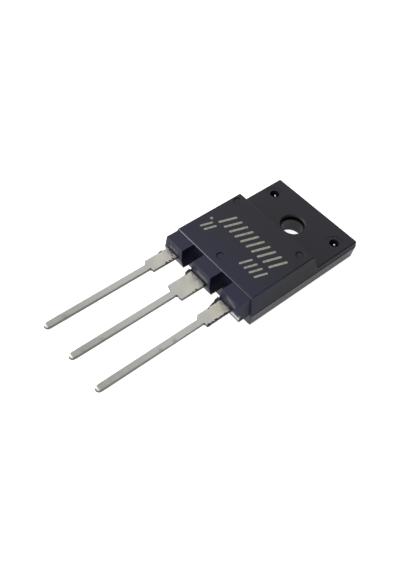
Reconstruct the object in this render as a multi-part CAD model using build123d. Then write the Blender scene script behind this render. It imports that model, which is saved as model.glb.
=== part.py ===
from build123d import *
from math import atan2, degrees, radians, sqrt, tan
import os

# Power transistor in a fully moulded package, lying on its back face.
# Millimetres. Origin: axis of the mounting hole, on the back face.
# +X towards the emitter lead, +Y towards the tab's far edge, +Z out of the marked front face.

# ---- moulded package ----------------------------------------------------------------------
body_width = 15.8             # widest, along the moulding's parting line
body_thickness = 5.6          # back face to front face of the thick block
tab_thickness = 3.1           # back face to front face of the thin tab
parting_height = 2.2          # height of the parting line above the back face
hole_to_tab_edge = 5.1        # hole axis to the tab's far edge at the parting line
hole_to_step = 3.0            # hole axis to the foot of the step from tab to block
hole_to_block_end = 15.05     # hole axis to the block's lead-side end
upper_draft = 9.0             # side walls above the parting line lean in by this angle
lower_draft = 6.0             # side walls below it lean in by this angle
step_draft = 18.0             # the step wall leans back by this angle
tab_corner_radius = 0.4
lead_corner_radius = 0.25
edge_round = 0.1              # worn edge of the mould cavity

# ---- pedestals round the lead exits -------------------------------------------------------
pedestal_length = 2.0         # how far they stand out from the block's end, at their top
pedestal_drop = 0.1           # their tops lie this far below the front face
pedestal_floor = 2.2          # underside, raised off the back face for creepage
centre_pedestal_width = 3.5   # at the top
outer_pedestal_width = 3.25   # at the top
notch_width = 2.2             # gap between two pedestals at the top
pedestal_side_draft = 5.0
pedestal_end_draft = 4.0      # end faces, above the leads
pedestal_under_draft = 12.0   # end faces, below the leads

# ---- holes and marks in the moulding ------------------------------------------------------
hole_diameter = 3.4           # clears an M3 screw
hole_mouth_chamfer = 0.2
hole_back_chamfer = 0.1
pin_hole_diameter = 1.4       # left by the two pins that hold the header down in the mould
pin_hole_x = 6.0
pin_hole_y = 2.15
pin_ring_diameter = 2.5       # shallow seat round each pin
pin_ring_depth = 0.05
ejector_diameter = 1.05       # the pin's own print
ejector_depth = 0.12
ejector_rim_diameter = 1.5    # the worn rim round the pin's bore
ejector_rim_depth = 0.06
ejector_row_offset = -0.28    # the ejector marks sit a little to the base side
ejector_spread = 6.2          # of the two marks beside the step, from their middle
ejector_step_gap = 1.25       # from the step's top edge to those two marks
ejector_end_gap = 1.55        # from the block's lead end to the third mark

# ---- lead frame ---------------------------------------------------------------------------
lead_pitch = 5.45
lead_row_offset = -0.25       # the lead row sits a little to the base side
lead_thickness = 0.55
lead_height = 3.3             # underside of the leads above the back face
lead_width = 0.95             # thin part
outer_lead_wide = 2.0         # wide part of the base and emitter leads
centre_lead_wide = 2.8        # wide part of the collector lead
wide_length = 3.9             # wide part outside the moulding
lead_length = 19.8            # whole lead outside the moulding
left_shoulder_drop = 0.2      # how far the left shoulder slopes back towards the thin part
left_shoulder_fillet = 0.26
right_shoulder_drop = 0.06    # the right shoulder is nearly square
right_shoulder_fillet = 0.4   # and its corner is hollowed by the round-nosed tie-bar punch
right_shoulder_hollow = 0.04  # closest the hollow comes to the line of the thin part
tip_chamfer = 0.22
post_width = 2.9              # bond pads inside the moulding
post_length = 1.8
post_cover = 2.6              # moulding between the block's end and the bond pad's inner edge
mould_lock_diameter = 0.8

# ---- header, die and wires ----------------------------------------------------------------
header_thickness = 1.5
header_floor = 0.9            # insulation between header and back face
header_side_wall = 1.0        # insulation beside the header
header_far_wall = 1.2         # insulation between header and the tab's far edge
hole_insulation = 1.6         # moulding between the mounting hole and the header
header_to_post = 0.5          # gap in the lead frame between header and bond pads
header_coin = 0.2             # coined edge round the header's underside
lead_bend_run = 1.5           # the collector lead climbs to the lead plane over this length
solder_thickness = 0.08
solder_margin = 0.1
die_side = 5.6
die_thickness = 0.35
die_to_step = 3.5             # from the foot of the step to the middle of the die
base_wire_diameter = 0.3
emitter_wire_diameter = 0.5
emitter_wire_gap = 0.45       # clear space between the two emitter wires
wire_rise = 1.0               # how high a wire's arch is above the bond pads
wire_arch = (0.22, 0.68)      # where the level top of the arch begins and ends along its span
wire_foot_lengths = 2.6       # a flattened foot, in wire diameters
wire_foot_widths = 1.3
wire_seat = 0.55              # height of the wire's centre over its foot's underside, in diameters

# ---- places that follow from the sizes above ----------------------------------------------
block_end_y = -hole_to_block_end
pedestal_end_y = block_end_y - pedestal_length
pedestal_top = body_thickness - pedestal_drop
lead_top = lead_height + lead_thickness
lead_mid = lead_height + lead_thickness / 2
lead_exit_y = pedestal_end_y - (pedestal_top - lead_mid) * tan(radians(pedestal_end_draft))
shoulder_y = lead_exit_y - wide_length
tip_y = lead_exit_y - lead_length
step_top_y = -hole_to_step - (body_thickness - tab_thickness) * tan(radians(step_draft))
post_inner_y = block_end_y + post_cover
header_end_y = post_inner_y + header_to_post
header_far_y = hole_to_tab_edge - header_far_wall
header_top = header_floor + header_thickness
header_width = body_width - 2 * header_side_wall
die_y = -hole_to_step - die_to_step
die_bottom = header_top + solder_thickness
die_top = die_bottom + die_thickness
post_bond_y = post_inner_y - post_length / 2
base_lead_x = lead_row_offset - lead_pitch
emitter_lead_x = lead_row_offset + lead_pitch
over = 1.0                    # how far cutting tools reach past what they cut


def prism_along_x(points, x_low, x_high):
    """A solid with a side view given as (y, z) points."""
    view = Plane.YZ.offset(x_low) * Polygon(*points, align=None)
    return extrude(view, amount=x_high - x_low, dir=(1, 0, 0))


def prism_along_y(points, y_low, y_high):
    """A solid with an end view given as (x, z) points."""
    view = Plane.XZ.offset(-y_low) * Polygon(*points, align=None)
    return extrude(view, amount=y_high - y_low, dir=(0, 1, 0))


def cylinder_from(x, y, z_low, z_high, diameter):
    return Pos(x, y, (z_low + z_high) / 2) * Cylinder(diameter / 2, z_high - z_low)


def parting_outline():
    """Plan of the package at its parting line, without the pedestals."""
    depth = hole_to_tab_edge + hole_to_block_end
    middle_y = (hole_to_tab_edge - hole_to_block_end) / 2
    plan = Pos(0, middle_y) * Rectangle(body_width, depth)
    plan = fillet(plan.vertices().group_by(Axis.Y)[-1], tab_corner_radius)
    return fillet(plan.vertices().group_by(Axis.Y)[0], lead_corner_radius)


def upper_half():
    """Tab and thick block above the parting line."""
    height = body_thickness - parting_height
    lead_end_lean = height * tan(radians(upper_draft))
    # the lead-side wall of the block stands upright, so the draft there is added and cut off
    plan = parting_outline() + Pos(0, block_end_y) * Rectangle(body_width, 2 * lead_end_lean)
    block = extrude(Pos(0, 0, parting_height) * plan, amount=height, taper=upper_draft)
    behind_end = Pos(0, block_end_y - over, body_thickness / 2) * Box(
        body_width + 2 * over, 2 * over, body_thickness + 2 * over)
    step_lean = tan(radians(step_draft))
    above_tab = prism_along_x(
        [(-hole_to_step, tab_thickness),
         (hole_to_tab_edge + over, tab_thickness),
         (hole_to_tab_edge + over, body_thickness + over),
         (-hole_to_step - (body_thickness + over - tab_thickness) * step_lean,
          body_thickness + over)],
        -body_width, body_width)
    return block - behind_end - above_tab


def lower_half():
    """The part of the package below the parting line, which carries the back face."""
    return extrude(Pos(0, 0, parting_height) * parting_outline(),
                   amount=parting_height, dir=(0, 0, -1), taper=lower_draft)


def pedestal(centre_x, top_width):
    """One block round a lead exit, with drafted sides and an end face that swells to the leads."""
    height = pedestal_top - pedestal_floor
    spread = height * tan(radians(pedestal_side_draft))
    half = top_width / 2
    end_view = [(centre_x - half, pedestal_top),
                (centre_x - half - spread, pedestal_floor),
                (centre_x + half + spread, pedestal_floor),
                (centre_x + half, pedestal_top)]
    under_y = lead_exit_y + (lead_mid - pedestal_floor) * tan(radians(pedestal_under_draft))
    root_y = block_end_y + over
    side_view = [(root_y, pedestal_floor),
                 (under_y, pedestal_floor),
                 (lead_exit_y, lead_mid),
                 (pedestal_end_y, pedestal_top),
                 (root_y, pedestal_top)]
    long_block = prism_along_y(end_view, lead_exit_y - over, root_y)
    return long_block & prism_along_x(side_view, -body_width, body_width)


def moulding_blank():
    """Package before anything is embedded in it."""
    blank = upper_half() + lower_half()
    front_rim = blank.faces().sort_by(Axis.Z)[-1].edges()
    tab_face = [face for face in blank.faces().filter_by(Axis.Z)
                if abs(face.center().Z - tab_thickness) < 1e-6][0]
    tab_rim = [edge for edge in tab_face.edges() if edge.center().Y > -hole_to_step + 1e-6]
    blank = chamfer([*front_rim, *tab_rim], edge_round)
    outer_x = centre_pedestal_width / 2 + notch_width + outer_pedestal_width / 2
    for centre_x, top_width in ((-outer_x, outer_pedestal_width),
                                (0, centre_pedestal_width),
                                (outer_x, outer_pedestal_width)):
        blank += pedestal(centre_x, top_width)
    return blank


def moulding_marks():
    """Everything the mould leaves open: mounting hole, pin holes and ejector marks."""
    marks = cylinder_from(0, 0, -over, tab_thickness + over, hole_diameter)
    mouth = hole_diameter / 2 + hole_mouth_chamfer
    marks += Pos(0, 0, tab_thickness - hole_mouth_chamfer / 2) * Cone(
        hole_diameter / 2, mouth, hole_mouth_chamfer)
    marks += Pos(0, 0, hole_back_chamfer / 2) * Cone(
        hole_diameter / 2 + hole_back_chamfer, hole_diameter / 2, hole_back_chamfer)
    for side in (-1, 1):
        marks += cylinder_from(side * pin_hole_x, pin_hole_y, header_top,
                               tab_thickness + over, pin_hole_diameter)
        marks += cylinder_from(side * pin_hole_x, pin_hole_y, tab_thickness - pin_ring_depth,
                               tab_thickness + over, pin_ring_diameter)
    ejector_places = [
        (ejector_row_offset - ejector_spread, step_top_y - ejector_step_gap),
        (ejector_row_offset + ejector_spread, step_top_y - ejector_step_gap),
        (ejector_row_offset, block_end_y + ejector_end_gap)]
    for x, y in ejector_places:
        marks += cylinder_from(x, y, body_thickness - ejector_depth,
                               body_thickness + over, ejector_diameter)
        marks += Pos(x, y, body_thickness - ejector_rim_depth / 2) * Cone(
            ejector_diameter / 2, ejector_rim_diameter / 2, ejector_rim_depth)
    return marks


def lead_edge(wide, inner_half, drop, fillet_size, hollow):
    """Right-hand edge of a lead centred on X = 0, from inside the moulding to the tip."""
    half_wide = wide / 2
    half_thin = lead_width / 2
    fillet_y = shoulder_y - drop
    fillet_start = (half_thin + fillet_size, fillet_y)
    fillet_end = (half_thin, fillet_y - fillet_size)
    edge = Polyline(*inner_half, (half_wide, lead_exit_y), (half_wide, shoulder_y), fillet_start)
    edge += ThreePointArc(fillet_start, (half_thin + hollow, fillet_y - hollow), fillet_end)
    edge += Polyline(fillet_end, (half_thin, tip_y + tip_chamfer),
                     (half_thin - tip_chamfer, tip_y), (0, tip_y))
    return edge


def lead_plan(wide, inner_half):
    """Plan of a lead; inner_half is its right edge inside the moulding."""
    quarter_round = left_shoulder_fillet * (1 - sqrt(0.5))
    left = lead_edge(wide, inner_half, left_shoulder_drop, left_shoulder_fillet, quarter_round)
    right = lead_edge(wide, inner_half, right_shoulder_drop, right_shoulder_fillet,
                      right_shoulder_hollow)
    return make_face(right + mirror(left, about=Plane.YZ))


def bevel_tip(lead):
    """The cropped end of a lead, broken along its upper and lower edges."""
    end_edges = lead.faces().sort_by(Axis.Y)[0].edges().filter_by(Axis.X)
    return chamfer(end_edges, tip_chamfer / 2)


def post_lead(centre_x):
    """Base or emitter lead: a bond pad inside, a wide part and a thin part outside."""
    neck_y = post_inner_y - post_length
    inner_half = [(0, post_inner_y), (post_width / 2, post_inner_y), (post_width / 2, neck_y),
                  (outer_lead_wide / 2, neck_y - (post_width - outer_lead_wide) / 2)]
    plan = lead_plan(outer_lead_wide, inner_half)
    lock_y = (neck_y + lead_exit_y) / 2
    plan -= Pos(0, lock_y) * Circle(mould_lock_diameter / 2)
    lead = extrude(plan, amount=lead_thickness)
    return Pos(centre_x, 0, lead_height) * bevel_tip(lead)


def header_with_collector_lead():
    """Thick copper header and the collector lead that climbs from it, stamped in one piece."""
    length = header_far_y - header_end_y
    plan = Pos(0, (header_far_y + header_end_y) / 2) * Rectangle(header_width, length)
    relief = hole_diameter / 2 + hole_insulation
    plan -= Circle(relief)
    plan -= Pos(0, header_far_y / 2) * Rectangle(2 * relief, header_far_y)
    header = extrude(Pos(0, 0, header_floor) * plan, amount=header_thickness)
    header = chamfer(header.faces().sort_by(Axis.Z)[0].edges(), header_coin)
    bend_foot_y = header_end_y - header_to_post
    bend_head_y = bend_foot_y - lead_bend_run
    half = centre_lead_wide / 2
    climb = prism_along_x(
        [(header_end_y + over, header_top - lead_thickness),
         (bend_foot_y, header_top - lead_thickness),
         (bend_head_y, lead_height),
         (bend_head_y - header_to_post, lead_height),
         (bend_head_y - header_to_post, lead_top),
         (bend_head_y, lead_top),
         (bend_foot_y, header_top),
         (header_end_y + over, header_top)],
        lead_row_offset - half, lead_row_offset + half)
    inner_half = [(0, bend_head_y - header_to_post), (half, bend_head_y - header_to_post)]
    lead = extrude(lead_plan(centre_lead_wide, inner_half), amount=lead_thickness)
    return header + climb + Pos(lead_row_offset, 0, lead_height) * bevel_tip(lead)


def die_attach():
    side = die_side + 2 * solder_margin
    return Pos(0, die_y, header_top + solder_thickness / 2) * Box(side, side, solder_thickness)


def silicon_die():
    return Pos(0, die_y, die_bottom + die_thickness / 2) * Box(die_side, die_side, die_thickness)


def bond_wire(start, end, diameter):
    """Aluminium wire bent up and over from the die to a bond pad, with a flattened foot at each end."""
    (x0, y0), (x1, y1) = start, end
    seat = diameter * wire_seat          # centre of the wire above what it is bonded to
    bends = [(x0 + share * (x1 - x0), y0 + share * (y1 - y0), lead_top + wire_rise)
             for share in wire_arch]
    path = Polyline((x0, y0, die_top + seat), *bends, (x1, y1, lead_top + seat))
    wire = sweep(Plane(origin=path @ 0, z_dir=path % 0) * Circle(diameter / 2), path=path,
                 transition=Transition.RIGHT)
    heading = degrees(atan2(y1 - y0, x1 - x0))
    for x, y, z in ((x0, y0, die_top), (x1, y1, lead_top)):
        foot = Box(diameter * wire_foot_lengths, diameter * wire_foot_widths, seat)
        wire += Pos(x, y, z + seat / 2) * Rot(0, 0, heading) * foot
    return wire


def base_wire():
    start = (-die_side / 4, die_y - die_side / 4)
    return bond_wire(start, (base_lead_x, post_bond_y), base_wire_diameter)


def emitter_wire(side):
    """One of two parallel wires; side is -1 or 1."""
    shift = side * (emitter_wire_diameter + emitter_wire_gap) / 2
    start = (die_side / 5 + shift, die_y - die_side / 5 + shift)
    return bond_wire(start, (emitter_lead_x + shift, post_bond_y + shift / 2),
                     emitter_wire_diameter)


inserts = {
    "header_with_collector_lead": header_with_collector_lead(),
    "base_lead": post_lead(base_lead_x),
    "emitter_lead": post_lead(emitter_lead_x),
    "die_attach_solder": die_attach(),
    "silicon_die": silicon_die(),
    "base_bond_wire": base_wire(),
    "emitter_bond_wire_1": emitter_wire(-1),
    "emitter_bond_wire_2": emitter_wire(1),
}

# the moulding closes on every insert face to face
moulding = moulding_blank() - moulding_marks()
for insert in inserts.values():
    moulding -= insert

parts = {"moulded_package": moulding, **inserts}
os.makedirs("parts", exist_ok=True)
for node, solid in parts.items():
    export_step(solid, f"parts/{node}.step")
    print(node, round(solid.volume, 2))
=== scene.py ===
import math
import random

import bmesh
import bpy
from mathutils import Matrix, Vector
from mathutils.bvhtree import BVHTree


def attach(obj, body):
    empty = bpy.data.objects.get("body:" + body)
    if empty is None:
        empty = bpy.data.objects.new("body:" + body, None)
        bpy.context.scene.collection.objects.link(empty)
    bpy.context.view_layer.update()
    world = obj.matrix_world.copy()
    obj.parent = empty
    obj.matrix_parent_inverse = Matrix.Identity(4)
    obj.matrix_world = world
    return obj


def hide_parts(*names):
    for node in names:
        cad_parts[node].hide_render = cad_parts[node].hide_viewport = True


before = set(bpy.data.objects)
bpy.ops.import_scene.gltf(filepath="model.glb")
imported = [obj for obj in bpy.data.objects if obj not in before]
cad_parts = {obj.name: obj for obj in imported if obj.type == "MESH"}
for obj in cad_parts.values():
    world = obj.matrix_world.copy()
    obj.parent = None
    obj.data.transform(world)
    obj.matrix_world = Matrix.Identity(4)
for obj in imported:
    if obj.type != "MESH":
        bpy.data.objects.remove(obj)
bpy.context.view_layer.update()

mm = 0.001
scene = bpy.context.scene
scene.view_settings.view_transform = "Standard"

# ---- camera ---------------------------------------------------------------------------------
# A long-lens view from the lead side, half above the part, turned a little on its axis.
camera_place = Vector((38.98, -54.53, 71.98)) * mm
looks_along = Vector((-0.4423, 0.4252, -0.7897)).normalized()
image_right = Vector((0.6374, 0.7685, 0.0567))
image_right = (image_right - image_right.dot(looks_along) * looks_along).normalized()
image_up = image_right.cross(looks_along)
camera_data = bpy.data.cameras.new("camera")
camera_data.sensor_width = 36
camera_data.lens = 42.35
camera_data.clip_start = 1 * mm
camera_data.clip_end = 10
camera = bpy.data.objects.new("camera", camera_data)
scene.collection.objects.link(camera)
turn = Matrix((image_right, image_up, -looks_along)).transposed().to_4x4()
camera.matrix_world = Matrix.Translation(camera_place) @ turn
scene.camera = camera

# ---- studio ---------------------------------------------------------------------------------
# A white table in a light tent that is bright over the left and falls off low on the right.
# A soft box at the left and a low strip at the front left pick out the edges.
table_size = 1.2
table_glow_to_camera = 0.80   # added where the camera sees the table
table_glow_to_gloss = 0.2     # added where a reflection sees it
tent_bright_side = Vector((-0.55, -0.35, 0.75)).normalized()
tent_tones = ((0.0, (0.09, 0.09, 0.10, 1)),
              (0.35, (0.34, 0.34, 0.36, 1)),
              (0.62, (0.90, 0.90, 0.92, 1)),
              (1.0, (0.98, 0.98, 1.00, 1)))
white = (1, 1, 1, 1)


def node_tree(owner):
    """An empty shader tree on a material or world."""
    owner.use_nodes = True
    tree = owner.node_tree
    tree.nodes.clear()
    return tree


def add_node(tree, kind, settings=None, inputs=None, links=None):
    """A shader node with its settings, plain input values, and links from other sockets."""
    node = tree.nodes.new(kind)
    for name, value in (settings or {}).items():
        setattr(node, name, value)
    for name, value in (inputs or {}).items():
        node.inputs[name].default_value = value
    for name, socket in (links or {}).items():
        tree.links.new(socket, node.inputs[name])
    return node


def tone_ramp(tree, tones, factor):
    """A colour ramp through (place, colour) tones, driven by a 0 to 1 socket."""
    ramp = add_node(tree, "ShaderNodeValToRGB", links={"Fac": factor})
    stops = ramp.color_ramp.elements
    while len(stops) < len(tones):
        stops.new(0.5)
    for stop, (place, colour) in zip(stops, tones):
        stop.position = place
        stop.color = colour
    return ramp.outputs["Color"]


world = bpy.data.worlds.new("tent")
scene.world = world
tree = node_tree(world)
direction = add_node(tree, "ShaderNodeTexCoord").outputs["Generated"]
towards_bright = add_node(tree, "ShaderNodeVectorMath", {"operation": "DOT_PRODUCT"},
                          inputs={1: tent_bright_side}, links={0: direction})
tent_place = add_node(tree, "ShaderNodeMapRange", inputs={"From Min": -0.2, "From Max": 1.0},
                      links={"Value": towards_bright.outputs["Value"]})
tent = add_node(tree, "ShaderNodeBackground", inputs={"Strength": 1.0},
                links={"Color": tone_ramp(tree, tent_tones, tent_place.outputs["Result"])})
backdrop = add_node(tree, "ShaderNodeBackground", inputs={"Color": white, "Strength": 1.0})
light_path = add_node(tree, "ShaderNodeLightPath")
seen = add_node(tree, "ShaderNodeMixShader", links={
    "Fac": light_path.outputs["Is Camera Ray"], 1: tent.outputs[0], 2: backdrop.outputs[0]})
add_node(tree, "ShaderNodeOutputWorld", links={"Surface": seen.outputs[0]})

bpy.ops.object.select_all(action="DESELECT")
bpy.ops.mesh.primitive_plane_add(size=table_size, location=(0, 0, -0.01 * mm))
table = bpy.context.object
table.name = "table"
table_paint = bpy.data.materials.new("white table")
tree = node_tree(table_paint)
light_path = add_node(tree, "ShaderNodeLightPath")
in_reflection = add_node(tree, "ShaderNodeMath", {"operation": "MAXIMUM"}, links={
    0: light_path.outputs["Is Glossy Ray"], 1: light_path.outputs["Is Transmission Ray"]})
glow_in_gloss = add_node(tree, "ShaderNodeMath", {"operation": "MULTIPLY"},
                         inputs={1: table_glow_to_gloss}, links={0: in_reflection.outputs[0]})
glow_amount = add_node(tree, "ShaderNodeMath", {"operation": "MULTIPLY_ADD"},
                       inputs={1: table_glow_to_camera},
                       links={0: light_path.outputs["Is Camera Ray"],
                              2: glow_in_gloss.outputs[0]})
paint = add_node(tree, "ShaderNodeBsdfDiffuse", inputs={"Color": (0.8, 0.8, 0.8, 1)})
glow = add_node(tree, "ShaderNodeEmission", inputs={"Color": white},
                links={"Strength": glow_amount.outputs[0]})
both = add_node(tree, "ShaderNodeAddShader", links={0: paint.outputs[0], 1: glow.outputs[0]})
add_node(tree, "ShaderNodeOutputMaterial", links={"Surface": both.outputs[0]})
table.data.materials.append(table_paint)


def soft_box(name, towards, distance, width, height, power, colour):
    """An area light that faces the part from a direction, at a distance in metres."""
    light = bpy.data.lights.new(name, "AREA")
    light.shape = "RECTANGLE"
    light.size = width
    light.size_y = height
    light.energy = power
    light.color = colour
    lamp = bpy.data.objects.new(name, light)
    direction = Vector(towards).normalized()
    aim = Vector((0, -10, 3)) * mm
    lamp.matrix_world = (Matrix.Translation(aim + direction * distance)
                         @ direction.to_track_quat("Z", "Y").to_matrix().to_4x4())
    scene.collection.objects.link(lamp)


soft_box("left soft box", towards=(-0.9, -0.45, 0.6), distance=0.6, width=0.3, height=0.3,
         power=0.6, colour=(1.0, 0.99, 0.97))
soft_box("front left strip", towards=(-0.45, -0.78, 0.42), distance=0.5, width=0.5, height=0.12,
         power=0.9, colour=(1.0, 1.0, 1.0))

# ---- header and leads -----------------------------------------------------------------------
# The copper header and its middle lead are stamped from one nickel plated strip, the two outer
# leads from a thinner one. After moulding the legs are tin plated, and the bars that tied them
# together are sheared off, which leaves dark torn walls in the fillets of the shoulders.
lead_top = 3.85 * mm
lead_thickness = 0.55 * mm
leg_middle_z = lead_top - lead_thickness / 2
lead_exit_y = -17.1846 * mm
shoulder_y = lead_exit_y - 3.9 * mm
fillet_end_y = shoulder_y - 0.46 * mm
tip_y = -36.98 * mm
thin_half = 0.475 * mm
leg_edge_round = 0.17 * mm
wide_edge_share = 0.29
leg_middles = {
    "base_lead": -5.70 * mm,
    "header_with_collector_lead": -0.25 * mm,
    "emitter_lead": 5.20 * mm,
}


def look_group(name, inputs, outputs):
    """A shader node group with named sockets: inputs name (socket type, default), outputs name a type."""
    group = bpy.data.node_groups.new(name, "ShaderNodeTree")
    for label, (kind, default) in inputs.items():
        socket = group.interface.new_socket(label, in_out="INPUT", socket_type=kind)
        socket.default_value = default
    for label, kind in outputs.items():
        group.interface.new_socket(label, in_out="OUTPUT", socket_type=kind)
    given = group.nodes.new("NodeGroupInput").outputs
    made = group.nodes.new("NodeGroupOutput").inputs
    return group, given, made


def use_look(tree, group, inputs=None, links=None):
    """One use of a look group in a material; returns its output sockets."""
    return add_node(tree, "ShaderNodeGroup", {"node_tree": group}, inputs, links).outputs


def material_with_shader(name, colour, **plain):
    """A material with one Principled shader whose plain inputs are set directly."""
    material = bpy.data.materials.new(name)
    tree = node_tree(material)
    shader = add_node(tree, "ShaderNodeBsdfPrincipled", inputs={"Base Color": (*colour, 1), **plain})
    add_node(tree, "ShaderNodeOutputMaterial", links={"Surface": shader.outputs[0]})
    place = add_node(tree, "ShaderNodeTexCoord").outputs["Object"]
    return material, tree, shader.inputs, place


# patches: soft blotches of a chosen size in millimetres, from 0 to 1
patches, given, made = look_group(
    "patches",
    {"Vector": ("NodeSocketVector", (0, 0, 0)), "Size": ("NodeSocketFloat", 1.0),
     "Low": ("NodeSocketFloat", 0.35), "High": ("NodeSocketFloat", 0.65)},
    {"Mask": "NodeSocketFloat"})
per_metre = add_node(patches, "ShaderNodeMath", {"operation": "DIVIDE"}, inputs={0: 1 / mm},
                     links={1: given["Size"]})
noise = add_node(patches, "ShaderNodeTexNoise", inputs={"Detail": 3.0, "Roughness": 0.55},
                 links={"Vector": given["Vector"], "Scale": per_metre.outputs[0]})
spread = add_node(patches, "ShaderNodeMapRange", {"interpolation_type": "SMOOTHSTEP"}, links={
    "Value": noise.outputs["Fac"], "From Min": given["Low"], "From Max": given["High"]})
patches.links.new(spread.outputs["Result"], made["Mask"])

# surface grain: fine relief of a chosen size in millimetres, as a height
surface_grain, given, made = look_group(
    "surface grain",
    {"Vector": ("NodeSocketVector", (0, 0, 0)), "Size": ("NodeSocketFloat", 0.05),
     "Coarse Share": ("NodeSocketFloat", 0.3)},
    {"Height": "NodeSocketFloat"})
per_metre = add_node(surface_grain, "ShaderNodeMath", {"operation": "DIVIDE"},
                     inputs={0: 1 / mm}, links={1: given["Size"]})
fine = add_node(surface_grain, "ShaderNodeTexNoise", inputs={"Detail": 4.0, "Roughness": 0.6},
                links={"Vector": given["Vector"], "Scale": per_metre.outputs[0]})
coarse_scale = add_node(surface_grain, "ShaderNodeMath", {"operation": "MULTIPLY"},
                        inputs={1: 0.12}, links={0: per_metre.outputs[0]})
coarse = add_node(surface_grain, "ShaderNodeTexNoise", inputs={"Detail": 2.0},
                  links={"Vector": given["Vector"], "Scale": coarse_scale.outputs[0]})
mixed = add_node(surface_grain, "ShaderNodeMix", {"data_type": "FLOAT"}, links={
    "Factor": given["Coarse Share"], "A": fine.outputs["Fac"], "B": coarse.outputs["Fac"]})
surface_grain.links.new(mixed.outputs["Result"], made["Height"])

# worn edge: a broken mask along outer edges, within a radius in metres
worn_edge, given, made = look_group(
    "worn edge",
    {"Vector": ("NodeSocketVector", (0, 0, 0)), "Radius": ("NodeSocketFloat", 0.1 * mm),
     "Patch Size": ("NodeSocketFloat", 0.5)},
    {"Mask": "NodeSocketFloat"})
softened = add_node(worn_edge, "ShaderNodeBevel", {"samples": 6},
                    links={"Radius": given["Radius"]})
facing = add_node(worn_edge, "ShaderNodeNewGeometry")
likeness = add_node(worn_edge, "ShaderNodeVectorMath", {"operation": "DOT_PRODUCT"}, links={
    0: softened.outputs["Normal"], 1: facing.outputs["Normal"]})
rim = add_node(worn_edge, "ShaderNodeMapRange", inputs={
    "From Min": 0.998, "From Max": 0.90}, links={"Value": likeness.outputs["Value"]})
broken = use_look(worn_edge, patches, inputs={"Low": 0.3, "High": 0.6},
                  links={"Vector": given["Vector"], "Size": given["Patch Size"]})
rim_mask = add_node(worn_edge, "ShaderNodeMath", {"operation": "MULTIPLY"}, links={
    0: rim.outputs["Result"], 1: broken["Mask"]})
worn_edge.links.new(rim_mask.outputs[0], made["Mask"])

# spot: a soft round spot at a place in metres, for stains and for painted shade and highlights
spot, given, made = look_group(
    "spot",
    {"Vector": ("NodeSocketVector", (0, 0, 0)), "Place": ("NodeSocketVector", (0, 0, 0)),
     "Radius": ("NodeSocketFloat", 0.3 * mm)},
    {"Mask": "NodeSocketFloat"})
away = add_node(spot, "ShaderNodeVectorMath", {"operation": "DISTANCE"}, links={
    0: given["Vector"], 1: given["Place"]})
fade = add_node(spot, "ShaderNodeMapRange", {"interpolation_type": "SMOOTHSTEP"},
                inputs={"From Min": 0.0, "To Min": 1.0, "To Max": 0.0},
                links={"Value": away.outputs["Value"], "From Max": given["Radius"]})
spot.links.new(fade.outputs["Result"], made["Mask"])


def mix_tone(tree, factor, first, second):
    """A colour between two, each a plain colour or a socket."""
    node = add_node(tree, "ShaderNodeMix", {"data_type": "RGBA"}, links={"Factor": factor})
    for socket, tone in ((node.inputs["A"], first), (node.inputs["B"], second)):
        if isinstance(tone, tuple):
            socket.default_value = (*tone, 1)
        else:
            tree.links.new(tone, socket)
    return node.outputs["Result"]


def between(tree, factor, low, high):
    """A value that runs from low to high with a 0 to 1 socket."""
    return add_node(tree, "ShaderNodeMapRange", inputs={"To Min": low, "To Max": high},
                    links={"Value": factor}).outputs["Result"]


def eased(tree, value, start, end):
    """A soft 0 to 1 mask, as a value socket runs from start to end."""
    return add_node(tree, "ShaderNodeMapRange", {"interpolation_type": "SMOOTHSTEP"},
                    inputs={"From Min": start, "From Max": end},
                    links={"Value": value}).outputs["Result"]


def product(tree, first, second):
    """The product of two sockets."""
    return add_node(tree, "ShaderNodeMath", {"operation": "MULTIPLY"},
                    links={0: first, 1: second}).outputs[0]


def larger(tree, *masks):
    """The larger of several mask sockets."""
    most = masks[0]
    for mask in masks[1:]:
        most = add_node(tree, "ShaderNodeMath", {"operation": "MAXIMUM"},
                        links={0: most, 1: mask}).outputs[0]
    return most


def relief(tree, height, depth, strength=1.0):
    """A bump of a real depth in metres, from a 0 to 1 height."""
    return add_node(tree, "ShaderNodeBump", inputs={"Strength": strength, "Distance": depth},
                    links={"Height": height}).outputs["Normal"]


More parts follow.
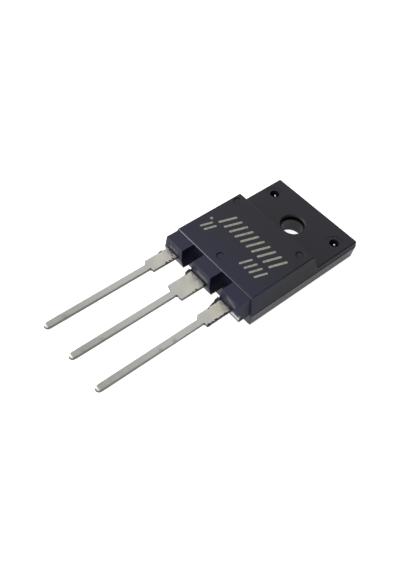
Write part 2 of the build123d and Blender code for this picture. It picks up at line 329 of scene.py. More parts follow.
def tin_plate():
    """Satin tin: warm and lumpy by the moulding, with painted shade at the joint with it, on its sides
    and towards the tips, a painted highlight on the cut at the tip, a tan stain on the emitter lead and
    faint smudges further out."""
    material, tree, shader, place = material_with_shader("tin plate", (0.62, 0.63, 0.60), Metallic=1.0)
    axes = add_node(tree, "ShaderNodeSeparateXYZ", links={"Vector": place}).outputs
    along = axes["Y"]
    blotches = use_look(tree, patches, {"Size": 1.3, "Low": 0.3, "High": 0.7}, {"Vector": place})
    on_wide_part = eased(tree, along, fillet_end_y, shoulder_y + 2.2 * mm)
    # painted shade: the tin runs darker towards the tips
    tip_shade = eased(tree, along, lead_exit_y - 7 * mm, -37 * mm)
    clean_with_tip_shade = mix_tone(tree, tip_shade, (0.50, 0.51, 0.485), (0.34, 0.34, 0.325))
    warm = mix_tone(tree, on_wide_part, clean_with_tip_shade, (0.61, 0.60, 0.525))
    mottled = mix_tone(tree, between(tree, blotches["Mask"], 0.0, 0.45), warm,
                       (0.49, 0.46, 0.38))
    burnt = use_look(tree, spot, {"Place": (5.1 * mm, lead_exit_y - 1.3 * mm, lead_top),
                                  "Radius": 1.0 * mm}, {"Vector": place})["Mask"]
    tanned = mix_tone(tree, between(tree, burnt, 0.0, 0.75), mottled, (0.58, 0.49, 0.34))
    smudges = []
    for node, distance, radius in (("emitter_lead", 8.5, 0.5), ("emitter_lead", 10.65, 0.45),
                                   ("base_lead", 17.0, 0.6),
                                   ("header_with_collector_lead", 15.3, 0.5),
                                   ("header_with_collector_lead", 18.0, 0.5)):
        centre = (leg_middles[node] + 0.3 * mm, lead_exit_y - distance * mm, lead_top)
        smudges.append(use_look(tree, spot, {"Place": centre, "Radius": radius * mm},
                                {"Vector": place})["Mask"])
    smudged = mix_tone(tree, between(tree, larger(tree, *smudges), 0.0, 0.7), tanned,
                       (0.30, 0.28, 0.24))
    # small bright lumps and darker pits, in the two millimetres next to the moulding
    by_body = eased(tree, along, lead_exit_y - 1.9 * mm, lead_exit_y - 0.1 * mm)
    lump = use_look(tree, patches, {"Size": 0.55, "Low": 0.42, "High": 0.62}, {"Vector": place})
    beside = add_node(tree, "ShaderNodeMapping", inputs={"Location": (3 * mm, 1 * mm, 0)},
                      links={"Vector": place}).outputs[0]
    pit = use_look(tree, patches, {"Size": 0.42, "Low": 0.60, "High": 0.70}, {"Vector": beside})
    lumpy = product(tree, lump["Mask"], by_body)
    pitted = product(tree, pit["Mask"], by_body)
    lumped = mix_tone(tree, between(tree, lumpy, 0.0, 0.8), smudged, (0.74, 0.73, 0.67))
    pocked = mix_tone(tree, between(tree, pitted, 0.0, 0.6), lumped, (0.26, 0.25, 0.22))
    # the slanted cut at the tip is painted bright, fresh cut metal with a painted highlight on it; the
    # sheared sides are painted darker than the rolled faces, as shade
    at_tip = eased(tree, along, tip_y + 0.5 * mm, tip_y + 0.2 * mm)
    # painted highlight on the cut at the tip, over the fresh cut metal
    tip_cut_and_glint = mix_tone(tree, at_tip, pocked, (0.92, 0.92, 0.91))
    above_middle = add_node(tree, "ShaderNodeMath", {"operation": "SUBTRACT"},
                            inputs={1: leg_middle_z}, links={0: axes["Z"]}).outputs[0]
    off_middle = add_node(tree, "ShaderNodeMath", {"operation": "ABSOLUTE"},
                          links={0: above_middle}).outputs[0]
    # painted shade on the sides of the leg
    side_shade = eased(tree, off_middle, 0.272 * mm, 0.17 * mm)
    sheared_and_side_shade = mix_tone(tree, side_shade, tip_cut_and_glint, (0.20, 0.20, 0.19))
    # a dark line of painted shade where the lead enters the moulding
    joint_shade = eased(tree, along, lead_exit_y - 0.16 * mm, lead_exit_y - 0.04 * mm)
    tree.links.new(mix_tone(tree, joint_shade, sheared_and_side_shade, (0.03, 0.03, 0.03)), shader["Base Color"])
    cloud = use_look(tree, patches, {"Size": 0.5, "Low": 0.25, "High": 0.75}, {"Vector": place})
    rough = add_node(tree, "ShaderNodeMath", {"operation": "MULTIPLY_ADD"}, inputs={1: 0.10},
                     links={0: on_wide_part, 2: between(tree, cloud["Mask"], 0.27, 0.38)})
    tree.links.new(rough.outputs[0], shader["Roughness"])
    grain = use_look(tree, surface_grain, {"Size": 0.09, "Coarse Share": 0.55},
                     {"Vector": place})
    grained = relief(tree, grain["Height"], 0.008 * mm, 0.7)
    raised = add_node(tree, "ShaderNodeBump", inputs={"Strength": 0.8, "Distance": 0.02 * mm},
                      links={"Height": lumpy, "Normal": grained}).outputs["Normal"]
    tree.links.new(raised, shader["Normal"])
    return material


def sheared_copper():
    """Torn, darkened copper where a tie bar was cut away."""
    material, tree, shader, place = material_with_shader(
        "sheared copper", (0.12, 0.105, 0.09), Metallic=1.0)
    streaks = use_look(tree, patches, {"Size": 0.12}, {"Vector": place})
    tree.links.new(mix_tone(tree, streaks["Mask"], (0.05, 0.045, 0.04), (0.20, 0.17, 0.14)),
                   shader["Base Color"])
    tree.links.new(between(tree, streaks["Mask"], 0.75, 0.5), shader["Roughness"])
    tree.links.new(relief(tree, streaks["Mask"], 0.02 * mm), shader["Normal"])
    return material


def nickel_plate():
    """Dull nickel on the header and bond pads, with faint rolling lines along the strip.
    The floors of the pin holes, where the mould pins held the header, are painted near black as shade."""
    material, tree, shader, place = material_with_shader(
        "nickel plated copper", (0.62, 0.60, 0.56), Metallic=1.0)
    stretched = add_node(tree, "ShaderNodeMapping", inputs={"Scale": (1.0, 0.05, 1.0)},
                         links={"Vector": place}).outputs["Vector"]
    lines = use_look(tree, surface_grain, {"Size": 0.05, "Coarse Share": 0.2},
                     {"Vector": stretched})
    tone = use_look(tree, patches, {"Size": 2.5, "Low": 0.3, "High": 0.7}, {"Vector": place})
    metal_tone = mix_tone(tree, tone["Mask"], (0.64, 0.62, 0.57), (0.56, 0.53, 0.48))
    # painted shade on the floors of the pin holes
    pin_hole_shades = []
    for side in (-1, 1):
        pin = Vector((side * 6.0, 2.15, 2.0)) * mm
        hole_floor = use_look(tree, spot, {"Place": pin, "Radius": 3.0 * mm}, {"Vector": place})
        pin_hole_shades.append(add_node(tree, "ShaderNodeMath", {"operation": "GREATER_THAN"},
                              inputs={1: 0.4}, links={0: hole_floor["Mask"]}).outputs[0])
    tree.links.new(mix_tone(tree, larger(tree, *pin_hole_shades), metal_tone, (0.012, 0.012, 0.016)),
                   shader["Base Color"])
    tree.links.new(between(tree, lines["Height"], 0.28, 0.5), shader["Roughness"])
    tree.links.new(relief(tree, lines["Height"], 0.006 * mm, 0.6), shader["Normal"])
    return material


def dress(piece, *materials):
    """Give a piece its materials, in this order."""
    piece.data.materials.clear()
    for material in materials:
        piece.data.materials.append(material)


def pick(piece):
    """Make a piece the only selected and the active object."""
    bpy.ops.object.select_all(action="DESELECT")
    bpy.context.view_layer.objects.active = piece
    piece.select_set(True)


def merged_copy(node, name):
    """A copy of a CAD node with its loose triangles joined into whole faces."""
    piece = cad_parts[node].copy()
    piece.data = piece.data.copy()
    piece.name = name
    for key in [k for k in piece.keys() if k.startswith("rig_")]:
        del piece[key]
    piece.parent = None
    scene.collection.objects.link(piece)
    pick(piece)
    bpy.ops.object.mode_set(mode="EDIT")
    bpy.ops.mesh.select_all(action="SELECT")
    bpy.ops.mesh.remove_doubles(threshold=0.0005 * mm)
    bpy.ops.mesh.dissolve_limited(angle_limit=math.radians(0.2))
    bpy.ops.object.mode_set(mode="OBJECT")
    return piece


def split_at(piece, place, normal=(0, 1, 0)):
    """Split the faces of a piece along a plane, across the leads if no other normal is given."""
    pick(piece)
    bpy.ops.object.mode_set(mode="EDIT")
    bpy.ops.mesh.select_all(action="SELECT")
    bpy.ops.mesh.bisect(plane_co=[place * part for part in normal], plane_no=normal)
    bpy.ops.object.mode_set(mode="OBJECT")


def apply_modifier(piece, kind, **settings):
    """Add one modifier, set it and apply it."""
    pick(piece)
    modifier = piece.modifiers.new(kind.lower(), kind)
    for name, value in settings.items():
        setattr(modifier, name, value)
    bpy.ops.object.modifier_apply(modifier=modifier.name)


def smooth_with_flat_faces(piece, angle):
    """Smooth shading below an angle in degrees, with the large faces kept flat."""
    pick(piece)
    bpy.ops.object.shade_smooth_by_angle(angle=math.radians(angle))
    apply_modifier(piece, "WEIGHTED_NORMAL", keep_sharp=True, weight=80)


def weigh_leg_edges(piece):
    """Mark the long outer edges: fully rounded on the thin part, nearly sharp on the wide part."""
    shape = bmesh.new()
    shape.from_mesh(piece.data)
    weight = shape.edges.layers.float.new("bevel_weight_edge")
    for edge in shape.edges:
        if max(v.co.y for v in edge.verts) > lead_exit_y + 0.06 * mm:
            continue
        flat = [f for f in edge.link_faces if abs(f.normal.z) > 0.5]
        wall = [f for f in edge.link_faces if abs(f.normal.z) < 0.5]
        at_tip = max(v.co.y for v in edge.verts) < tip_y + 0.3 * mm
        if len(flat) == 1 and len(wall) == 1:
            on_wide_part = min(v.co.y for v in edge.verts) > fillet_end_y - 0.01 * mm
            edge[weight] = wide_edge_share if on_wide_part else 1.0
        elif at_tip and len(wall) == 2 and edge.is_convex:
            edge[weight] = 1.0
    shape.to_mesh(piece.data)
    shape.free()


def round_tip(piece, middle):
    """Draw the last of the leg in to a blunt nose with a slanted cut, as a clipped end has."""
    nose = 1.0 * mm
    rise = ((0.0, 0.36), (0.17, 0.86), (0.30, 0.97), (0.45, 1.0))
    for step in (0.05, 0.11, 0.17, 0.23, 0.30, 0.45, 0.6, 0.8):
        split_at(piece, tip_y + step * mm)
    for point in piece.data.vertices:
        from_end = (point.co.y - tip_y) / mm
        for (near, low), (far, high) in zip(rise, rise[1:]):
            if near - 0.001 <= from_end < far:
                share = low + (high - low) * (from_end - near) / (far - near)
                point.co.z = leg_middle_z + (point.co.z - leg_middle_z) * share
        from_nose = 1 - from_end * mm / nose
        if from_nose > 0:
            drawn_in = math.sqrt(max(0.0, 1 - from_nose ** 2))
            point.co.x = middle + (point.co.x - middle) * (0.45 + 0.55 * drawn_in)


# the places of the leg's finishes among its materials
tinned, sheared_and_side_shade, nickelled = range(3)


def finish_leg(piece, middle):
    """Choose the finish of each face by its place along the leg."""
    for face in piece.data.polygons:
        centre = face.center
        in_fillet = fillet_end_y - 0.02 * mm < centre.y < shoulder_y - 0.07 * mm
        off_thin_part = abs(centre.x - middle) > thin_half - 0.02 * mm
        if centre.y > lead_exit_y + 0.04 * mm:
            face.material_index = nickelled
        elif in_fillet and off_thin_part and abs(face.normal.z) < 0.5:
            face.material_index = sheared_and_side_shade
        else:
            face.material_index = tinned


leg_finishes = (tin_plate(), sheared_copper(), nickel_plate())
for node, middle in leg_middles.items():
    leg = merged_copy(node, "dressed_" + node)
    split_at(leg, lead_exit_y + 0.05 * mm)
    weigh_leg_edges(leg)
    apply_modifier(leg, "BEVEL", width=leg_edge_round, segments=3, limit_method="WEIGHT",
                   use_clamp_overlap=False)
    round_tip(leg, middle)
    dress(leg, *leg_finishes)
    finish_leg(leg, middle)
    smooth_with_flat_faces(leg, 35)
    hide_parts(node)
    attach(leg, "root")

# ---- chip -----------------------------------------------------------------------------------
# The silicon chip is soldered to the header with its metal pads upwards. All of it is sealed in
# the moulding, so it keeps the plain solids and only gets its finishes.


def chip_silicon():
    material, tree, shader, place = material_with_shader(
        "silicon with metal pads", (0.2, 0.2, 0.22), Metallic=1.0)
    cells = add_node(tree, "ShaderNodeTexBrick", {"offset": 0.0},
                     inputs={"Scale": 2.2 / mm, "Mortar Size": 0.08, "Color1": (0.62, 0.62, 0.60, 1),
                             "Color2": (0.57, 0.57, 0.56, 1), "Mortar": (0.08, 0.08, 0.10, 1)},
                     links={"Vector": place})
    tree.links.new(cells.outputs["Color"], shader["Base Color"])
    tree.links.new(between(tree, cells.outputs["Fac"], 0.3, 0.12), shader["Roughness"])
    return material


def soft_solder():
    material, tree, shader, place = material_with_shader(
        "soft solder", (0.5, 0.5, 0.52), Metallic=1.0)
    ripples = use_look(tree, patches, {"Size": 0.6}, {"Vector": place})
    tree.links.new(mix_tone(tree, ripples["Mask"], (0.42, 0.42, 0.44), (0.56, 0.56, 0.58)),
                   shader["Base Color"])
    tree.links.new(between(tree, ripples["Mask"], 0.3, 0.5), shader["Roughness"])
    tree.links.new(relief(tree, ripples["Mask"], 0.02 * mm), shader["Normal"])
    return material


dress(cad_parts["silicon_die"], chip_silicon())
dress(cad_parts["die_attach_solder"], soft_solder())

# ---- bond wires -----------------------------------------------------------------------------
# Soft drawn aluminium wires, pressed flat at both feet by the bonding tool: one thin wire to the
# base pad and two thick ones to the emitter pad.


def drawn_aluminium():
    material, tree, shader, place = material_with_shader(
        "drawn aluminium", (0.82, 0.83, 0.84), Metallic=1.0)
    drawn = use_look(tree, surface_grain, {"Size": 0.04, "Coarse Share": 0.4},
                     {"Vector": place})
    tree.links.new(mix_tone(tree, drawn["Height"], (0.78, 0.79, 0.80), (0.88, 0.89, 0.90)),
                   shader["Base Color"])
    tree.links.new(between(tree, drawn["Height"], 0.2, 0.4), shader["Roughness"])
    tree.links.new(relief(tree, drawn["Height"], 0.004 * mm, 0.5), shader["Normal"])
    return material


aluminium = drawn_aluminium()
for node in ("base_bond_wire", "emitter_bond_wire_1", "emitter_bond_wire_2"):
    dress(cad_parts[node], aluminium)

# ---- moulded package ------------------------------------------------------------------------
# One shot of glass-filled black epoxy, moulded round the lead frame. The upper mould half is
# spark-eroded and leaves a fine matt skin; the lower half is smoother and shines a little.
parting_height = 2.2 * mm
front_height = 5.6 * mm
block_end_y = -15.05 * mm
hole_reach = 1.75 * mm        # of the mounting hole's wall from its axis
mouth_reach = 2.1 * mm        # of its mouths
mark_reach = 1.4 * mm         # of a pin hole or an ejector mark from its own axis
pin_places = [Vector((side * 6.0, 2.15)) * mm for side in (-1, 1)]
ejector_places = [Vector((x, y)) * mm for x, y in ((-6.48, -5.06), (5.92, -5.06), (-0.28, -13.5))]

# soft stains of resin and of tin on the pedestals' ends; the resin ones are partly painted glints and a
# painted highlight band along the pedestals' top edges. In millimetres: where the ends are along the
# leads, then each stain's place across and up and its radius
stained_y = -17.15
resin_stains_and_glints = ((-0.45, 4.6, 0.45), (0.0, 4.5, 0.48), (0.45, 4.55, 0.45), (0.9, 4.5, 0.48),
                 (1.25, 4.4, 0.40), (5.3, 5.1, 0.50), (5.7, 5.0, 0.55), (6.1, 4.85, 0.55),
                 (6.45, 4.65, 0.50), (-6.1, 4.4, 0.42), (-5.5, 4.4, 0.40), (-5.0, 4.35, 0.36))
tin_stains = ((6.4, 3.1, 0.75), (6.75, 3.1, 0.75), (7.05, 3.05, 0.75), (7.35, 2.95, 0.6))


def stain_mask(tree, place, stains, low, high):
    """A blotchy mask of the spots in a list: stains, and painted highlights among them."""
    masks = [use_look(tree, spot, {"Place": Vector((x, stained_y, z)) * mm, "Radius": radius * mm},
                      {"Vector": place})["Mask"] for x, z, radius in stains]
    broken = use_look(tree, patches, {"Size": 0.4, "Low": 0.3, "High": 0.6}, {"Vector": place})
    return product(tree, larger(tree, *masks), between(tree, broken["Mask"], low, high))


def epoxy(name, deep, pale, cool_shade_tint, matt, grain_depth, edge_polish, shine):
    """Black epoxy: two close tones, a cool tint painted by the leads as the blue of shade and reflected
    sky, stains on the pedestals' ends with painted highlights among them, a grain, and edges rubbed
    smoother than the faces."""
    material, tree, shader, place = material_with_shader(
        name, deep, **{"Specular IOR Level": shine})
    clouds = use_look(tree, patches, {"Size": 3.0, "Low": 0.3, "High": 0.7}, {"Vector": place})
    specks = use_look(tree, patches, {"Size": 0.22, "Low": 0.62, "High": 0.74},
                      {"Vector": place})
    body = mix_tone(tree, clouds["Mask"], deep, pale)
    filled = mix_tone(tree, between(tree, specks["Mask"], 0.0, 0.25), body,
                      (0.035, 0.035, 0.035))
    along = add_node(tree, "ShaderNodeSeparateXYZ", links={"Vector": place}).outputs["Y"]
    # painted cool tint towards the leads, for the blue of shade and of reflected sky there
    by_leads = eased(tree, along, -6 * mm, -18 * mm)
    tinted = mix_tone(tree, by_leads, filled, cool_shade_tint)
    # pale resin stains, partly painted glints and highlights
    stained_and_glinting = mix_tone(tree, stain_mask(tree, place, resin_stains_and_glints, 0.6, 1.0), tinted,
                       (0.14, 0.138, 0.138))
    tinned = stain_mask(tree, place, tin_stains, 0.9, 1.5)
    tree.links.new(mix_tone(tree, tinned, stained_and_glinting, (0.95, 0.95, 0.92)), shader["Base Color"])
    tree.links.new(tinned, shader["Metallic"])
    worn = use_look(tree, worn_edge, {"Radius": 0.1 * mm, "Patch Size": 2.0},
                    {"Vector": place})
    rubbed = add_node(tree, "ShaderNodeMath", {"operation": "MULTIPLY"},
                      inputs={1: edge_polish}, links={0: worn["Mask"]}).outputs[0]
    rough = add_node(tree, "ShaderNodeMath", {"operation": "SUBTRACT"}, links={
        0: between(tree, clouds["Mask"], matt, matt + 0.06), 1: rubbed})
    tree.links.new(rough.outputs[0], shader["Roughness"])
    grain = use_look(tree, surface_grain, {"Size": 0.07, "Coarse Share": 0.35},
                     {"Vector": place})
    tree.links.new(relief(tree, grain["Height"], grain_depth), shader["Normal"])
    return material


metal = [BVHTree.FromPolygons([v.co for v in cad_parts[node].data.vertices],
                              [tuple(f.vertices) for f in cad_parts[node].data.polygons])
         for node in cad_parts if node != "moulded_package"]


def on_metal(point):
    """True where the moulding closes on the lead frame, the chip or a wire."""
    return any(tree.find_nearest(point, 0.01 * mm)[0] is not None for tree in metal)


def on_round_mark(point):
    """True on the walls and rims of the mounting hole, the pin holes and the ejector marks."""
    flat = Vector((point.x, point.y))
    if flat.length < mouth_reach:
        return True
    return any((flat - place).length < mark_reach for place in (*pin_places, *ejector_places))


def bevel_edges(piece, wanted, width, segments, least_angle=28):
    """Round the convex edges whose middle passes a test."""
    pick(piece)
    bpy.ops.object.mode_set(mode="EDIT")
    bpy.ops.mesh.select_mode(type="EDGE")
    bpy.ops.mesh.select_all(action="DESELECT")
    shape = bmesh.from_edit_mesh(piece.data)
    for edge in shape.edges:
        if len(edge.link_faces) == 2 and edge.is_convex:
            middle = (edge.verts[0].co + edge.verts[1].co) / 2
            turned = edge.calc_face_angle() > math.radians(least_angle)
            edge.select = turned and wanted(middle)
    bmesh.update_edit_mesh(piece.data)
    bpy.ops.mesh.bevel(offset=width, segments=segments, affect="EDGES", clamp_overlap=False)
    bpy.ops.object.mode_set(mode="OBJECT")


def is_outer_edge(point):
    on_end_chamfer = abs(point.y - block_end_y) < 0.15 * mm and point.z > front_height - 0.15 * mm
    return not (on_end_chamfer or on_metal(point) or on_round_mark(point))


def is_lead_opening(point):
    return point.y < block_end_y - 1.8 * mm and on_metal(point)


def is_parting_line(point):
    beside_pedestals = point.y < block_end_y - 0.01 * mm
    return abs(point.z - parting_height) < 0.01 * mm and not beside_pedestals and point.length > 3 * mm


def true_up_normals(piece):
    """Shade level faces dead flat, and the mounting hole and its mouths as true rounds."""
    normals = [Vector(corner.vector) for corner in piece.data.corner_normals]
    for face in piece.data.polygons:
        places = [piece.data.vertices[index].co for index in face.vertices]
        level = abs(face.normal.z) > 0.999
        in_hole = all(Vector((place.x, place.y)).length < mouth_reach for place in places)
        for corner, place in zip(face.loop_indices, places):
            if level:
                normals[corner] = Vector(face.normal)
            elif in_hole:
                inward = -Vector((place.x, place.y, 0)).normalized()
                slope = 0.0 if abs(face.normal.z) < 0.3 else math.copysign(1.0, face.normal.z)
                normals[corner] = (inward + Vector((0, 0, slope))).normalized()
    piece.data.normals_split_custom_set(normals)


# the finishes, and the places of all but the first, which every face has unless a rule changes it
polished, under_leads, torn_line_and_hole_shade, rubbed_edge_and_highlight, shade_between_pedestals = range(1, 6)
package_finishes = (
    epoxy("epoxy, spark-eroded half", (0.0055, 0.0055, 0.0115), (0.0085, 0.0080, 0.0135),
          (0.0090, 0.0100, 0.036), matt=0.48, grain_depth=0.004 * mm, edge_polish=0.10, shine=0.46),
    epoxy("epoxy, polished half", (0.0060, 0.0060, 0.0110), (0.0080, 0.0080, 0.0125),
          (0.0085, 0.0085, 0.020), matt=0.19, grain_depth=0.0012 * mm, edge_polish=0.05, shine=1.0),
    epoxy("epoxy, under the leads", (0.0060, 0.0060, 0.0110), (0.0080, 0.0080, 0.0125),
          (0.0085, 0.0085, 0.020), matt=0.22, grain_depth=0.0015 * mm, edge_polish=0.05, shine=0.6),
    epoxy("epoxy, torn parting line", (0.0030, 0.0030, 0.0040), (0.0045, 0.0045, 0.0055),
          (0.0040, 0.0040, 0.0080), matt=0.90, grain_depth=0.010 * mm, edge_polish=0.0, shine=0.1),
    # a lighter, shinier copy for the end chamfer: partly a rubbed edge, partly a painted highlight
    epoxy("epoxy, rubbed edge", (0.0080, 0.0080, 0.0120), (0.0110, 0.0110, 0.0160),
          (0.0120, 0.0120, 0.0300), matt=0.24, grain_depth=0.001 * mm, edge_polish=0.0, shine=0.8),
    # a darker, duller copy for the walls between the pedestals: painted shade
    epoxy("epoxy, between the pedestals", (0.0030, 0.0030, 0.0100), (0.0040, 0.0040, 0.0120),
          (0.0030, 0.0035, 0.0190), matt=0.45, grain_depth=0.0010 * mm, edge_polish=0.0, shine=0.10))

package = merged_copy("moulded_package", "epoxy_package")
split_at(package, parting_height, normal=(0, 0, 1))
bevel_edges(package, is_parting_line, width=0.10 * mm, segments=1, least_angle=8)
bevel_edges(package, is_lead_opening, width=0.05 * mm, segments=1)
bevel_edges(package, is_outer_edge, width=0.05 * mm, segments=3)
dress(package, *package_finishes)
for face in package.data.polygons:
    centre = face.center
    upright = abs(face.normal.z) < 0.5
    in_hole = Vector((centre.x, centre.y)).length < hole_reach
    past_block = centre.y < block_end_y + 0.01 * mm
    in_notch = past_block and upright and abs(centre.x) < 7.0 * mm
    on_notch_wall = in_notch and (abs(face.normal.x) > 0.7 or centre.y > -16.5 * mm)
    # the walls between the pedestals take the darker copy, as painted shade
    if on_notch_wall:
        face.material_index = shade_between_pedestals
    elif abs(centre.z - parting_height) < 0.04 * mm and upright and not in_hole:
        face.material_index = torn_line_and_hole_shade
    elif centre.z < parting_height - 0.01 * mm:
        face.material_index = polished
    elif past_block and centre.z < 3.6 * mm and centre.y < block_end_y - 1.9 * mm:
        face.material_index = under_leads
    # the end chamfer takes the lighter copy, partly as a painted highlight
    elif abs(centre.y - block_end_y) < 0.1 * mm and 0.6 < face.normal.z < 0.8:
        face.material_index = rubbed_edge_and_highlight
    # the mounting hole's upper wall takes the dark, dull torn finish: partly a rougher wall, partly
    # painted shade
    elif in_hole and upright:
        face.material_index = torn_line_and_hole_shade
smooth_with_flat_faces(package, 35)
true_up_normals(package)
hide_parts("moulded_package")
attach(package, "root")

# ---- resin flash ----------------------------------------------------------------------------
# Thin resin bled past the mould on to the lead frame and broke off when the tie bars were cut.
# It left dark scabs along the edges of the leads. The mould pins left small burrs in their holes.
random.seed(11)


def resin(name, deep, pale, matt):
    """Bare glossy resin with a skin of small lumps."""
    material, tree, shader, place = material_with_shader(name, deep)
    lumps = use_look(tree, patches, {"Size": 0.25, "Low": 0.3, "High": 0.7}, {"Vector": place})
    tree.links.new(mix_tone(tree, lumps["Mask"], deep, pale), shader["Base Color"])
    tree.links.new(between(tree, lumps["Mask"], matt, matt + 0.15), shader["Roughness"])
    tree.links.new(relief(tree, lumps["Mask"], 0.02 * mm), shader["Normal"])
    return material


def lump(place, size):
    """One ragged lump, from a ball pulled about at random; place and size in millimetres."""
    bpy.ops.object.select_all(action="DESELECT")
    bpy.ops.mesh.primitive_ico_sphere_add(subdivisions=3, radius=0.5 * mm)
    ball = bpy.context.object
    bpy.ops.object.mode_set(mode="EDIT")
    bpy.ops.mesh.select_all(action="SELECT")
    bpy.ops.transform.vertex_random(offset=0.12 * mm, seed=random.randint(0, 9999))
    bpy.ops.mesh.vertices_smooth(factor=0.5, repeat=2)
    bpy.ops.object.mode_set(mode="OBJECT")
    ball.scale = size
    ball.location = Vector(place) * mm
    ball.rotation_euler.z = random.uniform(-0.4, 0.4)
    bpy.ops.object.transform_apply(location=True, rotation=True, scale=True)
    return ball


def scab(place, size):
    """A ragged patch of three lumps that overlap."""
    made = []
    for _ in range(3):
        shift = [random.uniform(-0.3, 0.3) * side for side in size[:2]] + [0]
        share = random.uniform(0.55, 0.85)
        made.append(lump(Vector(place) + Vector(shift), Vector(size) * share))
    return made


def film(corners, thickness):
    """A thin ragged sheet between four corners, listed round its edge, all in millimetres."""
    bpy.ops.object.select_all(action="DESELECT")
    bpy.ops.mesh.primitive_grid_add(x_subdivisions=18, y_subdivisions=4, size=1)
    sheet = bpy.context.object
    first, second, third, fourth = (Vector(corner) * mm for corner in corners)
    for point in sheet.data.vertices:
        along, across = point.co.x + 0.5, point.co.y + 0.5
        across += random.uniform(-0.13, 0.13)
        point.co = first.lerp(second, along).lerp(fourth.lerp(third, along), across)
    apply_modifier(sheet, "SOLIDIFY", thickness=thickness * mm, offset=0)
    return sheet


def join_as(name, pieces, material):
    """Join pieces into one named object that rides with the part."""
    bpy.ops.object.select_all(action="DESELECT")
    for piece in pieces:
        piece.select_set(True)
    bpy.context.view_layer.objects.active = pieces[0]
    bpy.ops.object.join()
    whole = bpy.context.object
    whole.name = name
    dress(whole, material)
    pick(whole)
    bpy.ops.object.shade_smooth_by_angle(angle=math.radians(40))
    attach(whole, "root")


def bright_tin():
    """Fresh bright tin with a few dull blotches."""
    material, tree, shader, place = material_with_shader("bright tin", (0.86, 0.85, 0.80), Metallic=1.0)
    dull = use_look(tree, patches, {"Size": 0.3, "Low": 0.45, "High": 0.75}, {"Vector": place})
    tree.links.new(mix_tone(tree, dull["Mask"], (0.90, 0.89, 0.85), (0.62, 0.60, 0.55)),
                   shader["Base Color"])
    tree.links.new(between(tree, dull["Mask"], 0.2, 0.4), shader["Roughness"])
    tree.links.new(relief(tree, dull["Mask"], 0.01 * mm), shader["Normal"])
    return material


# each scab in millimetres: its place across the leads, how far out from the moulding, its width
# and its length
lead_scabs = (
    (-6.72, 1.25, 0.22, 0.9), (-4.78, 0.65, 0.28, 0.3), (-4.76, 1.25, 0.28, 0.3),
    (-4.80, 1.75, 0.36, 0.45), (-6.25, 0.08, 0.7, 0.26), (-5.7, 0.25, 0.6, 0.16),
    (-5.15, 0.5, 0.5, 0.2),
    (-1.80, 0.3, 0.45, 1.2), (-1.62, 1.0, 0.2, 0.6), (1.05, 0.25, 0.45, 0.5),
    (0.75, 0.08, 0.7, 0.22), (1.08, 1.5, 0.30, 0.42), (1.12, 2.1, 0.16, 0.24),
    (4.02, 0.3, 0.5, 1.3), (4.16, 1.25, 0.3, 1.1), (4.30, 2.2, 0.26, 0.36),
    (6.18, 2.5, 0.24, 0.7), (6.20, 3.2, 0.26, 0.8), (6.16, 3.8, 0.32, 0.5),
    (6.18, 0.9, 0.26, 1.0), (5.7, 0.1, 1.2, 0.26), (6.2, 1.75, 0.16, 0.4))
dark_scabs = []
for x, out, width, length in lead_scabs:
    dark_scabs += scab((x, lead_exit_y / mm - out, 3.80), (width, length, 0.26))
dark_scabs += [
    film(((6.20, -17.2, 3.89), (6.19, -21.1, 3.86), (6.20, -21.1, 3.40), (6.20, -17.2, 3.45)), 0.08),
    film(((4.22, -17.2, 3.72), (4.22, -19.0, 3.74), (4.10, -19.0, 3.74), (3.65, -17.2, 3.74)), 0.2),
    film(((-1.63, -17.2, 3.7), (-1.63, -18.3, 3.74), (-1.72, -18.3, 3.74), (-2.2, -17.2, 3.7)), 0.2)]
join_as("resin_flash", dark_scabs, resin("dark resin", (0.006, 0.006, 0.009),
                                         (0.02, 0.018, 0.014), 0.25))

# metal burrs that the mould pins pressed up in their holes
burrs = [lump((x + 0.02, 2.3, 2.35), (0.6, 0.45, 0.8)) for x in (-6.0, 6.0)]
join_as("pin_burrs", burrs, bright_tin())

# ---- marking --------------------------------------------------------------------------------
# A plain mark is printed on the front in grey ink: an index dot and strips of slanted strokes.
# The ink is a thin raised layer, and the matt resin shows through where it is worn.
ink_thickness = 0.012 * mm


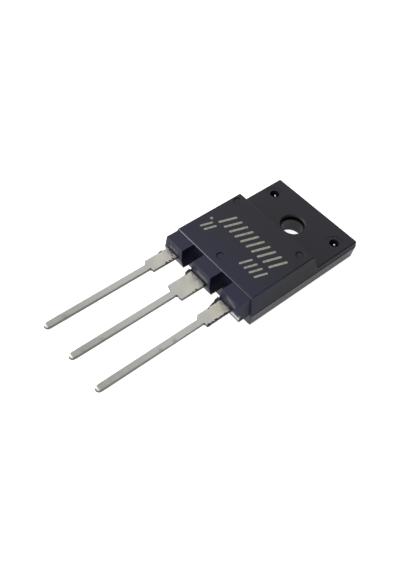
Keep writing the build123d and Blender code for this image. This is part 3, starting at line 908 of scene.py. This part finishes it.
def printed_ink():
    """Grey ink, thinner and broken where the matt resin shows through."""
    material, tree, shader, place = material_with_shader("marking ink", (0.33, 0.33, 0.26))
    thin = use_look(tree, patches, {"Size": 0.35, "Low": 0.35, "High": 0.75}, {"Vector": place})
    tree.links.new(mix_tone(tree, thin["Mask"], (0.34, 0.335, 0.27), (0.20, 0.20, 0.16)),
                   shader["Base Color"])
    tree.links.new(between(tree, thin["Mask"], 0.55, 0.7), shader["Roughness"])
    tree.links.new(relief(tree, thin["Mask"], 0.005 * mm), shader["Normal"])
    return material


def settle(piece, place, turn=0.0):
    """Lay a flat piece of ink on the front face; place in millimetres, turn in radians."""
    bpy.ops.object.mode_set(mode="OBJECT")
    piece.location = (place[0] * mm, place[1] * mm, front_height)
    piece.rotation_euler.z = turn
    bpy.ops.object.transform_apply(location=True, rotation=True, scale=True)
    return piece


def thicken_ink():
    bpy.ops.mesh.select_all(action="SELECT")
    bpy.ops.mesh.extrude_region_move(TRANSFORM_OT_translate={"value": (0, 0, ink_thickness)})
    bpy.ops.mesh.select_all(action="SELECT")
    bpy.ops.mesh.normals_make_consistent(inside=False)


def stroke(start, end, width):
    """A straight stroke with round ends, all in millimetres."""
    start, end = Vector(start), Vector(end)
    bpy.ops.object.select_all(action="DESELECT")
    bpy.ops.mesh.primitive_circle_add(vertices=16, radius=width / 2 * mm, fill_type="NGON")
    ink = bpy.context.object
    length = (end - start).length
    ink.rotation_euler.z = math.pi / 16
    bpy.ops.object.transform_apply(location=False, rotation=True, scale=False)
    for point in ink.data.vertices:
        if point.co.x > 0:
            point.co.x += length * mm
    bpy.ops.object.mode_set(mode="EDIT")
    thicken_ink()
    return settle(ink, start, math.atan2(end.y - start.y, end.x - start.x))


marks = [stroke((-6.13, -10.19), (-6.08, -10.19), 0.42)]
for count, left, low, pitch, lean, tall, width in (
        (10, -4.9, -9.75, 1.1, 0.75, 2.3, 0.36),
        (2, -5.9, -12.2, 0.8, 0.45, 1.5, 0.32),
        (4, 2.2, -12.4, 0.95, 0.5, 1.6, 0.32)):
    for step in range(count):
        foot = Vector((left + step * pitch, low))
        marks.append(stroke(foot, foot + Vector((lean, tall)), width))
join_as("printed_marking", marks, printed_ink())
